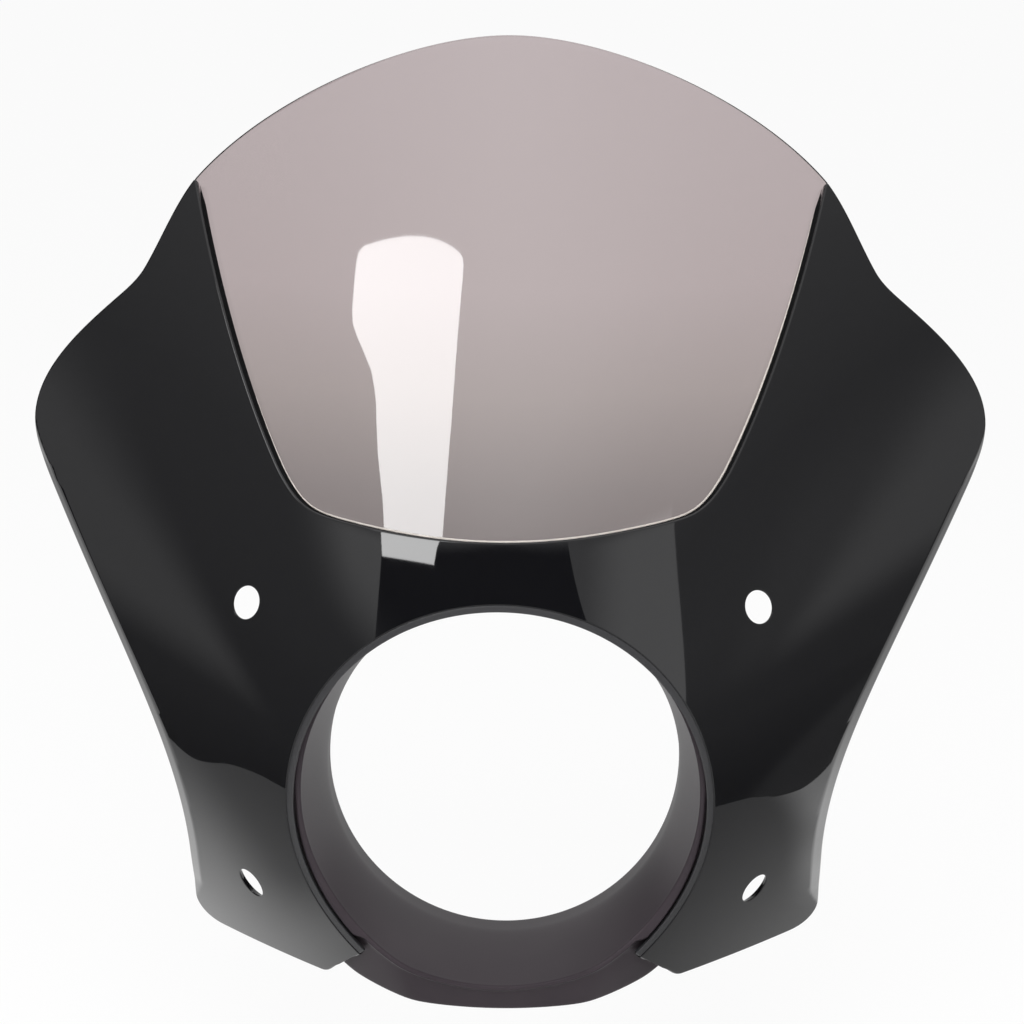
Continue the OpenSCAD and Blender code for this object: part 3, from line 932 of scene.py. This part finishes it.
# Painted shade: near-black tones that stand in for the shade on the window's cut wall.
painted_shade_tone = add(tree, "ShaderNodeValToRGB", inputs={"Fac": lumps.outputs["Fac"]})
painted_shade_tone.color_ramp.elements[0].color = linear("#080809")
painted_shade_tone.color_ramp.elements[1].color = linear("#101011")
painted_shade_shader = add(
    tree,
    "ShaderNodeBsdfPrincipled",
    inputs={
        "Base Color": painted_shade_tone.outputs["Color"],
        "Roughness": 0.85,
        "IOR": 1.5,
        "Specular IOR Level": 0.1,
        "Normal": lump_bump.outputs["Normal"],
    },
)
finish_material(material, painted_shade_shader.outputs["BSDF"], [painted_shade_strip])

# %% [markdown]
# ## Satin black ABS
#
# The collar came out of a mould with a fine spark-eroded finish, so it has no mirror
# gloss. The grain, 0.6 mm across here so that it can show at all, scatters the light. The
# cone reads as dark grey, lighter where it turns towards the light.

# %% The collar's material
material, tree, place = new_material("satin black moulded ABS")
grain = add(
    tree, "ShaderNodeTexNoise", inputs={"Vector": place, "Scale": 1 / 0.0006, "Detail": 2.0}
)
grain_bump = add(
    tree,
    "ShaderNodeBump",
    inputs={"Height": grain.outputs["Fac"], "Strength": 0.08, "Distance": 0.00002},
)
flow = add(tree, "ShaderNodeTexNoise", inputs={"Vector": place, "Scale": 1 / 0.03, "Detail": 1.0})
satin_tone = add(tree, "ShaderNodeValToRGB", inputs={"Fac": flow.outputs["Fac"]})
satin_tone.color_ramp.elements[0].color = linear("#2f2a2e")
satin_tone.color_ramp.elements[1].color = linear("#373135")
satin_haze = add(
    tree,
    "ShaderNodeMapRange",
    inputs={"Value": grain.outputs["Fac"], "To Min": 0.36, "To Max": 0.44},
)
satin = add(
    tree,
    "ShaderNodeBsdfPrincipled",
    inputs={
        "Base Color": satin_tone.outputs["Color"],
        "Roughness": satin_haze.outputs["Result"],
        "IOR": 1.5,
        "Specular IOR Level": 0.1,
        "Normal": grain_bump.outputs["Normal"],
    },
)
finish_material(material, satin.outputs["BSDF"], [collar])

# %% [markdown]
# ## Floor and world
#
# The photograph has a pure white ground. The floor is pale and catches the object's
# shadow, and for the camera, and for gloss and glass, it also glows so that it reads as
# white. The world does the same. What the lamps do is the same everywhere.

# %% Floor and world
FLOOR_Z = -0.18


def stage_mesh(name, points, faces):
    """A mesh that isn't part of the object."""
    mesh = bpy.data.meshes.new(name)
    mesh.from_pydata(np.asarray(points).tolist(), [], [list(f) for f in faces])
    thing = bpy.data.objects.new(name, mesh)
    bpy.context.scene.collection.objects.link(thing)
    return thing


def seen_white(tree):
    """1 for camera, glossy and transmission rays, and 0 for the light that bounces."""
    ray = add(tree, "ShaderNodeLightPath")
    first = add(
        tree,
        "ShaderNodeMath",
        {"operation": "MAXIMUM"},
        {0: ray.outputs["Is Camera Ray"], 1: ray.outputs["Is Glossy Ray"]},
    )
    return add(
        tree,
        "ShaderNodeMath",
        {"operation": "MAXIMUM"},
        {0: first.outputs[0], 1: ray.outputs["Is Transmission Ray"]},
    ).outputs[0]


turns = np.linspace(0, 2 * np.pi, 65)[:-1]
floor = stage_mesh(
    "floor",
    np.stack([60 * np.cos(turns), 60 * np.sin(turns), np.full(64, FLOOR_Z)], axis=-1),
    [range(64)],
)
material, tree, place = new_material("white paper floor")
paper = add(tree, "ShaderNodeBsdfDiffuse", inputs={"Color": linear("#f2f2f2")})
glow = add(tree, "ShaderNodeEmission", inputs={"Color": (1, 1, 1, 1), "Strength": 1.0})
share = add(tree, "ShaderNodeMath", {"operation": "MULTIPLY"}, {0: seen_white(tree), 1: 0.915})
both = add(
    tree,
    "ShaderNodeMixShader",
    inputs={0: share.outputs[0], 1: paper.outputs[0], 2: glow.outputs[0]},
)
finish_material(material, both.outputs[0], [floor])

world = bpy.data.worlds.new("studio")
world.use_nodes = True
bpy.context.scene.world = world
world.node_tree.nodes.clear()
strength = add(
    world.node_tree,
    "ShaderNodeMapRange",
    inputs={"Value": seen_white(world.node_tree), "To Min": 0.55, "To Max": 1.0},
)
sky = add(
    world.node_tree,
    "ShaderNodeBackground",
    inputs={"Color": (1, 1, 1, 1), "Strength": strength.outputs["Result"]},
)
add(world.node_tree, "ShaderNodeOutputWorld", inputs={"Surface": sky.outputs[0]})

# %% [markdown]
# ## What the gloss sees
#
# A gloss black surface shows the studio and not itself, so the studio is part of the
# look. Parts of one egg-shaped dome make a dim room with a bright ceiling, a black flag
# over the camera, a soft panel on each side of it, and black drapes behind. Below are pale
# paper and a dark floor, and high on the left is a softbox. Each is a card that only
# reflections see. A card's brightness is an attribute, so that one shader serves them all.

# %% The cards' shader and helper
CARD, card_tree, _ = new_material("studio card")
brightness = add(card_tree, "ShaderNodeAttribute", {"attribute_name": "brightness"})
card_glow = add(
    card_tree,
    "ShaderNodeEmission",
    inputs={"Color": (1, 1, 1, 1), "Strength": brightness.outputs["Fac"]},
)
add(card_tree, "ShaderNodeOutputMaterial", inputs={"Surface": card_glow.outputs[0]})


def card(name, points, faces, bright):
    """A stage mesh that only glossy rays see, with a brightness for each point."""
    thing = stage_mesh(name, points, faces)
    values = thing.data.attributes.new("brightness", "FLOAT", "POINT")
    values.data.foreach_set("value", np.asarray(bright, np.float32))
    thing.data.materials.append(CARD)
    thing.visible_camera = thing.visible_diffuse = False
    thing.visible_transmission = thing.visible_shadow = False


def grid_card(name, points, bright):
    """A card over a grid of points."""
    index = np.arange(bright.size).reshape(bright.shape)
    card(name, points.reshape(-1, 3), strip_quads(index), bright.ravel())


def ramp(value, start, end):
    """0 up to start, 1 past end, and a smooth curve 3t^2 - 2t^3 between them."""
    t = np.clip((value - start) / (end - start), 0, 1)
    return t * t * (3 - 2 * t)


def dome_part(name, first, last, steps, heights, bright):
    """Part of an egg-shaped dome: x, y, z = sin(az) cos(el), -cos(az) cos(el), sin(el) times
    DOME. It spans from one edge to another, and each edge gives its azimuth at a height."""
    el, share = np.meshgrid(heights, np.linspace(0, 1, steps + 1), indexing="ij")
    az = first(el) + share * (last(el) - first(el))
    a, e = np.radians(az), np.radians(el)
    points = DOME * np.stack([np.sin(a) * np.cos(e), -np.cos(a) * np.cos(e), np.sin(e)], axis=-1)
    grid_card(name, points, bright(az, el))


# %% The room's brightness
DOME = np.array([1.6, 1.9, 2.2])
ROOM_EL = [-15, 0, 6, 12, 24, 35, 50, 70, 90]
LEFT_GLOW = [0.12, 0.19, 0.22, 0.27, 0.33, 0.5, 0.9, 1.2, 1.2]
RIGHT_GLOW = [0.15, 0.22, 0.3, 0.35, 0.34, 0.5, 0.9, 1.2, 1.2]


def low_down(az, el):
    """1 up to the height of the flag's and the panels' tops, and 0 just above it."""
    return 1 - ramp(el - 46.8 + 0.0043 * az**2, -0.5, 0.8)


def left_side(az, el):
    """A dim room with a soft panel beside the flag, a lighter strip at the open side, and
    a black drape at the very edge."""
    strip = 0.4 * ramp(-az, 80.5, 83.5) * ramp(el, -5, 3) * ramp(-el, -24, -14)
    panel = 0.75 * ramp(az, -74, -65) * ramp(el, 16, 27) * low_down(az, el)
    drape = 1 - 0.95 * ramp(-az - 89.6 + 3.3 * ramp(el, -5, 8), 0, 1.6)
    return (np.interp(el, ROOM_EL, LEFT_GLOW) + strip + panel) * drape


def right_side(az, el):
    """The same room on the right: no panel, and no drape."""
    strip = 0.33 * ramp(az, 78.5, 81) + 0.08 * ramp(az, 74, 78)
    return np.interp(el, ROOM_EL, RIGHT_GLOW) + strip * ramp(el, 1, 7) * ramp(-el, -24, -15)


def black_flag(az, el):
    """A black flag over the camera, with the room above it and below it."""
    glow = np.interp(el, ROOM_EL, LEFT_GLOW)
    return glow + (0.01 - glow) * low_down(az, el) * ramp(el, 12, 28)


def right_panel(az, el):
    """A wide soft panel that brightens to the right, with the room above it."""
    glow = np.interp(el, ROOM_EL, RIGHT_GLOW)
    return glow + (0.7 + 0.65 * ramp(az, 44, 60) - glow) * low_down(az, el)


def drape_behind(az, el):
    """Black drapes at both sides behind the object, open above."""
    return 0.05 + ramp(el, 30, 60)


# %% The room's parts
def at_azimuth(degrees):
    return lambda el: np.full_like(el, degrees)


def flag_left(el):
    return -59.5 - 0.19 * np.clip(30.7 - el, 0, 40)


def flag_right(el):
    return 38.8 + 0.8 * np.clip(40.4 - el, -2, 25)


def panel_end(el):
    return 66.0 + 0.263 * np.clip(27.2 - el, 0, 40)


heights = np.concatenate([np.linspace(-6, 60, 133), np.linspace(63, 89, 14)])
above_floor = heights[heights > 0.4]
dome_part("drape_left", at_azimuth(-150), at_azimuth(-97), 12, above_floor, drape_behind)
dome_part("room_left", at_azimuth(-97), flag_left, 76, heights, left_side)
dome_part("flag", flag_left, flag_right, 60, heights, black_flag)
dome_part("panel_right", flag_right, panel_end, 24, heights, right_panel)
dome_part("room_right", panel_end, at_azimuth(97), 50, heights, right_side)
dome_part("drape_right", at_azimuth(97), at_azimuth(140), 12, above_floor, drape_behind)


# %% The floor's tones
def through(points, steps=8):
    """A smooth line through points: each stretch is a cubic that leaves and arrives along
    half the step between the two neighbours of its end (Catmull and Rom)."""
    points = np.array(points)
    p = np.concatenate([2 * points[:1] - points[1:2], points, 2 * points[-1:] - points[-2:-1]])
    a, b, c, d = (q[:, None] for q in (p[:-3], p[1:-2], p[2:-1], p[3:]))
    s = np.linspace(0, 1, steps, endpoint=False)[:, None]
    line = b + s * (c - a) / 2 + s**2 * (a - 2.5 * b + 2 * c - d / 2)
    line = line + s**3 * (1.5 * (b - c) + (d - a) / 2)
    return np.concatenate([line.reshape(-1, 2), points[-1:]])


def floor_card(name, near, far, bright):
    """Straight rules from a near edge to a far edge on the floor, closer near the object."""
    near, far = through(near), through(far)
    share = np.linspace(0, 1, 60)[:, None, None] ** 2.5
    x, y = (near + share * (far - near)).transpose(2, 0, 1)
    points = np.stack([x, y, np.full_like(x, FLOOR_Z + 0.003)], axis=-1)
    grid_card(name, points, bright(x, y))


def dark_floor(x, y):
    """The paper ends near the object; past it a dark floor, lighter further off."""
    away, tones = [0.4, 0.5, 0.66, 1.1, 2, 4, 7], [0.07, 0.08, 0.11, 0.16, 0.19, 0.23, 0.26]
    glow = np.interp(np.abs(x), away, tones)
    line = ramp(y - 0.096 + 0.065 * np.abs(x), 0, 0.014) * (x < 0)
    return glow * (1 - 0.9 * line) + 0.11 * ramp(y, -0.04, 0.0) * (x > 0)


def pale_floor(x, y):
    """The paper near the object, a little grey in front on each side."""
    behind = ramp(y, 0.02, 0.12)
    left = 0.55 + 0.45 * behind + 0.45 * ramp(x, -0.25, -0.17) * (1 - behind)
    lit = ramp(y - 0.1 + 0.55 * (x - 0.265), -0.025, 0.02) * ramp(x, 0.2, 0.26)
    right = 0.45 + (0.65 + 0.4 * ramp(x, 0.28, 0.34)) * lit
    tone = np.where(x < 0, left, right)
    plain = np.maximum(ramp(np.abs(y), 0.2, 0.33), 1 - ramp(np.abs(x), 0.08, 0.15))
    return tone + (0.97 - tone) * plain


floor_card(
    "dark_floor_left",
    [(-.52, .066), (-.487, .06), (-.473, .051), (-.484, .034), (-.525, 0), (-.535, -.034),
     (-.517, -.059), (-.5, -.1), (-.5, -.3)],
    [(-6, .8), (-6, .75), (-6, .7), (-6, .6), (-6, .4), (-6, .1), (-6, -.3), (-6, -1.5), (-6, -6)],
    dark_floor,
)
floor_card(
    "dark_floor_right",
    [(.572, .042), (.474, .05), (.44, .052), (.415, .051), (.394, .046), (.384, .037),
     (.387, .015), (.401, -.003), (.42, -.055), (.43, -.3)],
    [(6, .35), (6, .3), (6, .2), (6, .1), (6, 0), (6, -.1), (6, -.3), (6, -.6), (6, -1.5), (6, -6)],
    dark_floor,
)
x, y = np.meshgrid(np.linspace(-0.62, 0.62, 125), np.linspace(-0.35, 0.35, 71), indexing="ij")
points = np.stack([x, y, np.full_like(x, FLOOR_Z + 0.0015)], axis=-1)
grid_card("pale_floor", points, pale_floor(x, y))

# %% The softbox
centre = np.array([-0.782, -0.712, 1.271])
right, up = np.array([-0.677, 0.736, 0.0]), np.array([0.545, 0.501, 0.672])
SOFTBOX = np.array([
    (302, 84), (298, 103), (277, 124), (202, 172), (88, 240), (-28, 306), (-142, 369),
    (-217, 408), (-238, 415), (-247, 412), (-250, 395), (-259, 177), (-253, -76), (-248, -86),
    (171, -314), (172, -243), (193, -158), (199, -74),
    (206, -57), (222, -37), (285, -19), (303, -8), (306, 8),
]) / 1000
SOFTBOX_FOOT = np.array([(-248, -86), (-231, -114), (-215, -170), (171, -372), (171, -314)]) / 1000


def flat_card(name, outline, brightness):
    """A flat card in the softbox's plane, as bright all over."""
    corners = centre + outline[:, :1] * right + outline[:, 1:] * up
    card(name, corners, [range(len(outline))], np.full(len(outline), brightness))


flat_card("softbox", SOFTBOX, 6.9)
flat_card("softbox_foot", SOFTBOX_FOOT, 11.5)

# %% [markdown]
# ## Lamps
#
# Black plastic needs little light, but the satin collar and the floor do. Three large area
# lamps light the scene from above and in front, and they are kept out of the gloss so that
# only the cards show there.

# %% Lamps
def area_lamp(name, place, size, watts):
    """A square lamp that looks at the object's middle."""
    data = bpy.data.lights.new(name, "AREA")
    data.size, data.energy = size, watts
    lamp = bpy.data.objects.new(name, data)
    bpy.context.scene.collection.objects.link(lamp)
    lamp.location = place
    away = np.array(place) - np.array([0, 0, 0.08])
    turn = np.arctan2(away[1], away[0]) + np.pi / 2
    tilt = np.arccos(away[2] / np.linalg.norm(away))
    lamp.rotation_euler = (tilt, 0, turn)
    lamp.visible_glossy = lamp.visible_transmission = False


area_lamp("lamp_above_left", (-1.0, -0.9, 1.6), 1.0, 7)
area_lamp("lamp_above_right", (1.2, -0.6, 1.4), 1.0, 4)
area_lamp("lamp_in_front", (0.0, -1.5, 1.2), 1.0, 32)

# %% [markdown]
# ## The camera
#
# A long lens, 1.5 m away, a little to the right and 11 degrees up, as in the photograph.
# Its axes are built from those angles: t points from the object to the camera, r to the
# right of the picture, and u up.

# %% Camera
TURN, LIFT, ROLL, DISTANCE = 0.02510, 0.1973, 0.0034, 1.5
t = np.array([np.sin(TURN) * np.cos(LIFT), -np.cos(TURN) * np.cos(LIFT), np.sin(LIFT)])
r0 = np.array([np.cos(TURN), np.sin(TURN), 0.0])
u0 = np.cross(t, r0)
r = np.cos(ROLL) * r0 + np.sin(ROLL) * u0
u = -np.sin(ROLL) * r0 + np.cos(ROLL) * u0
target = 0.0032448 * r + 0.1037092 * u
eye = target + DISTANCE * t
camera_data = bpy.data.cameras.new("camera")
camera_data.lens, camera_data.sensor_width = 122.58, 36.0
camera = bpy.data.objects.new("camera", camera_data)
bpy.context.scene.collection.objects.link(camera)
camera.matrix_world = Matrix(
    [[r[k], u[k], t[k], eye[k]] for k in range(3)] + [[0, 0, 0, 1]]
)
bpy.context.scene.camera = camera
bpy.context.scene.view_settings.view_transform = "Standard"
print("camera at", np.round(eye, 3).tolist())
